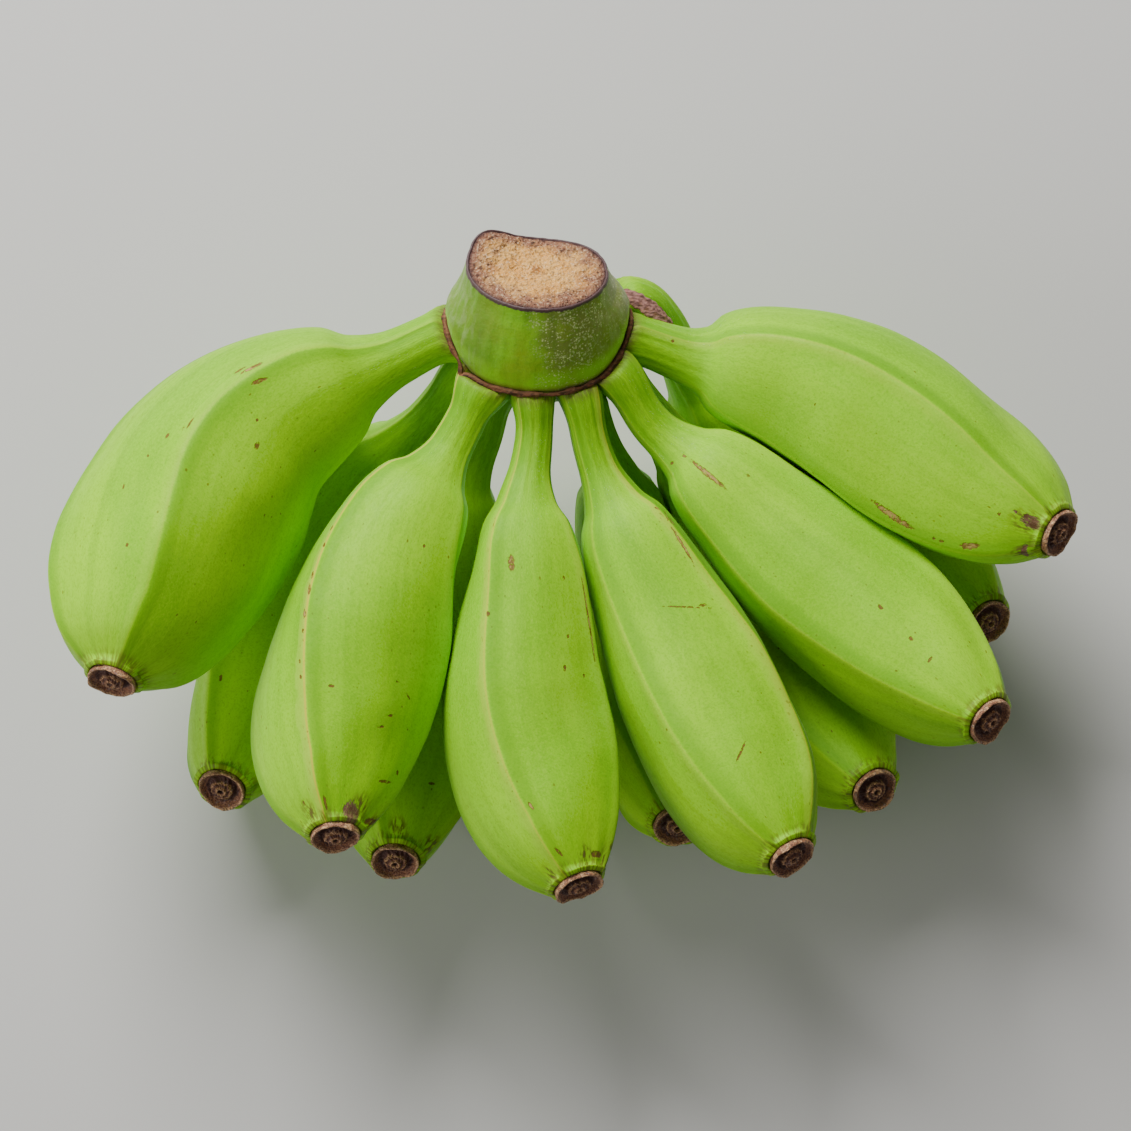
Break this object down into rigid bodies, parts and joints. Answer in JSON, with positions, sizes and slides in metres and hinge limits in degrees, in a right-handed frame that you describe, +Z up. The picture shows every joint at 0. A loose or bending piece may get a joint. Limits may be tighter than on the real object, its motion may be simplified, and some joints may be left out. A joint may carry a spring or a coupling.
{
  "type": "hand of green cooking plantains",
  "caption": "Cut hand of unripe cooking plantains: thick ridged fingers in two rows on one crown, lying on the lower row.",
  "frame": {"origin": "on the surface that the hand lies on, under the middle of its box", "axes": "+X across the fan of fingers, +Y from the fingertips towards the crown, +Z up"},
  "size_m": [0.2925, 0.1911, 0.1177],
  "materials": {
    "green_skin": "satin unripe peel",
    "cut_pith": "matt cut fibre",
    "dried_brown": "matt, dried and wrinkled"
  },
  "bodies": {
    "root": {"crown": "green_skin", "cut_pith": "cut_pith", "bract_scar": "dried_brown", "finger_front_1": "green_skin", "finger_front_2": "green_skin", "finger_front_3": "green_skin", "finger_front_4": "green_skin", "finger_front_5": "green_skin", "finger_front_6": "green_skin", "finger_back_1": "green_skin", "finger_back_2": "green_skin", "finger_back_3": "green_skin", "finger_back_4": "green_skin", "finger_back_5": "green_skin", "flower_end_front_1": "dried_brown", "flower_end_front_2": "dried_brown", "flower_end_front_3": "dried_brown", "flower_end_front_4": "dried_brown", "flower_end_front_5": "dried_brown", "flower_end_front_6": "dried_brown", "flower_end_back_1": "dried_brown", "flower_end_back_2": "dried_brown", "flower_end_back_3": "dried_brown", "flower_end_back_4": "dried_brown", "flower_end_back_5": "dried_brown"}
  },
  "joints": []
}
